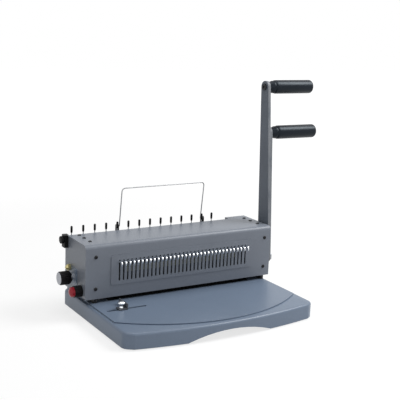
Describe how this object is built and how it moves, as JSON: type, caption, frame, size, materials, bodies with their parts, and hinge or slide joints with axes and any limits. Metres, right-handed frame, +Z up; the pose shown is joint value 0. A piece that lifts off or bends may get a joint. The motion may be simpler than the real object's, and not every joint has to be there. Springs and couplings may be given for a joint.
{
  "type": "comb binding machine",
  "caption": "Desk-top comb binding machine: grey body with a slotted comb plate and hooks, two side levers with grips, and a flat base with a paper guide.",
  "frame": {"origin": "on the floor under the middle of the machine's overall box", "axes": "+X to the right along the body, towards the levers; +Y to the rear; +Z up"},
  "size_m": [0.57, 0.299, 0.4365],
  "materials": {
    "grey_paint": "satin grey stove enamel with a fine texture",
    "base_paint": "smooth glossy blue-grey paint",
    "arm_paint": "dark slate paint, worn lighter along the edges",
    "grip_plastic": "moulded near-black navy plastic, soft sheen",
    "black_plastic": "moulded black plastic",
    "black_metal": "black oxide",
    "rubber": "plain black rubber",
    "machined_steel": "machined steel, lightly oiled",
    "bright_chrome": "polished plating",
    "bronze": "bearing bronze",
    "brass": "turned brass",
    "red_plastic": "glossy signal red",
    "hook_bar_steel": "olive-grey passivated steel",
    "wire_steel": "drawn steel wire",
    "tray_paint": "plain dark grey paint",
    "dial_face": "satin anodised plate"
  },
  "bodies": {
    "frame": {"base_shell": "base_paint", "table_plate": "base_paint", "feet": "rubber", "tray_runners": "machined_steel", "left_side_plate": "machined_steel", "right_side_plate": "machined_steel", "top_cover": "grey_paint", "comb_plate": "grey_paint", "left_end_cover": "grey_paint", "right_end_cover": "grey_paint", "rear_cover": "grey_paint", "front_screws": "black_metal", "top_screws": "black_metal", "die_plate": "machined_steel", "punch_guide": "machined_steel", "tie_bar": "machined_steel", "guide_rods": "bright_chrome", "carriage_guides": "machined_steel", "shaft_bushes": "bronze", "rail_block": "black_plastic", "rail_trough": "grey_paint", "dial_plate": "dial_face", "panel_bush": "bright_chrome", "brass_nut": "brass", "button_barrel": "black_plastic", "rest_brackets": "black_metal", "beam_springs": "machined_steel"},
    "punch_lever": {"punch_arm": "arm_paint", "punch_grip": "grip_plastic", "punch_grip_bolt": "black_metal", "punch_shaft": "machined_steel", "punch_pinions": "machined_steel"},
    "comb_lever": {"comb_arm": "arm_paint", "comb_grip": "grip_plastic", "comb_grip_bolt": "black_metal", "comb_shaft": "machined_steel", "comb_pinions": "machined_steel", "comb_hub_nut": "machined_steel"},
    "punch_carriage": {"punch_beam": "machined_steel", "punch_racks": "machined_steel", "punches": "bright_chrome"},
    "hook_carriage": {"hook_bar": "hook_bar_steel", "hook_racks": "machined_steel", "hooks": "bright_chrome"},
    "margin_dial": {"margin_knob": "black_plastic", "knob_cap": "bright_chrome", "knob_shaft": "machined_steel", "margin_cam": "brass"},
    "back_stop": {"back_stop": "machined_steel"},
    "red_button": {"push_button": "red_plastic"},
    "pin_rail": {"pin_rail": "black_metal", "rail_knob": "black_plastic", "rail_pins": "machined_steel", "pin_caps": "black_plastic"},
    "wire_rest": {"wire_rest": "wire_steel"},
    "side_guide": {"side_guide": "black_metal", "guide_nut": "machined_steel"},
    "guide_knob": {"guide_knob": "bright_chrome"},
    "chip_tray": {"chip_tray": "tray_paint"}
  },
  "joints": [
    {"name": "punch_lever_swing", "type": "hinge", "parent": "frame", "child": "punch_lever", "pos_m": [0.155, 0.0615, 0.1015], "axis": [1, 0, 0], "range_deg": [0, 75], "stiffness_Nm_per_rad": 1.2, "springref_deg": -28.65},
    {"name": "punch_stroke", "type": "slide", "parent": "frame", "child": "punch_carriage", "axis": [0, 0, -1], "range_m": [0, 0.0138], "deforming": ["beam_springs"]},
    {"name": "comb_lever_swing", "type": "hinge", "parent": "frame", "child": "comb_lever", "pos_m": [0.161, 0.0615, 0.0715], "axis": [1, 0, 0], "range_deg": [0, 75]},
    {"name": "hook_travel", "type": "slide", "parent": "frame", "child": "hook_carriage", "axis": [0, 0, -1], "range_m": [0, 0.0236]},
    {"name": "margin_turn", "type": "hinge", "parent": "frame", "child": "margin_dial", "pos_m": [-0.259, 0.0955, 0.0685], "axis": [1, 0, 0], "range_deg": [0, 270]},
    {"name": "stop_travel", "type": "slide", "parent": "frame", "child": "back_stop", "axis": [0, -1, 0], "range_m": [0, 0.00401]},
    {"name": "button_press", "type": "slide", "parent": "frame", "child": "red_button", "axis": [1, 0, 0], "range_m": [0, 0.004], "stiffness_N_per_m": 600},
    {"name": "rail_turn", "type": "hinge", "parent": "frame", "child": "pin_rail", "pos_m": [-0.159, 0.123, 0.135], "axis": [1, 0, 0], "range_deg": [-90, 0]},
    {"name": "rest_fold", "type": "hinge", "parent": "frame", "child": "wire_rest", "pos_m": [-0.059, 0.1355, 0.1475], "axis": [1, 0, 0], "range_deg": [-100, 0]},
    {"name": "guide_slide", "type": "slide", "parent": "frame", "child": "side_guide", "axis": [1, 0, 0], "range_m": [-0.026, 0.048]},
    {"name": "guide_knob_turn", "type": "hinge", "parent": "side_guide", "child": "guide_knob", "pos_m": [-0.208, -0.0155, 0.0415], "axis": [0, 0, 1], "continuous": true},
    {"name": "tray_slide", "type": "slide", "parent": "frame", "child": "chip_tray", "axis": [0, 1, 0], "range_m": [0, 0.09]}
  ],
  "couplings": [
    {"joint": "punch_stroke", "follows": "punch_lever_swing", "m_per_rad": 0.0105},
    {"joint": "hook_travel", "follows": "comb_lever_swing", "m_per_rad": 0.018},
    {"joint": "stop_travel", "follows": "margin_turn", "m_per_rad": 0.00084883}
  ]
}
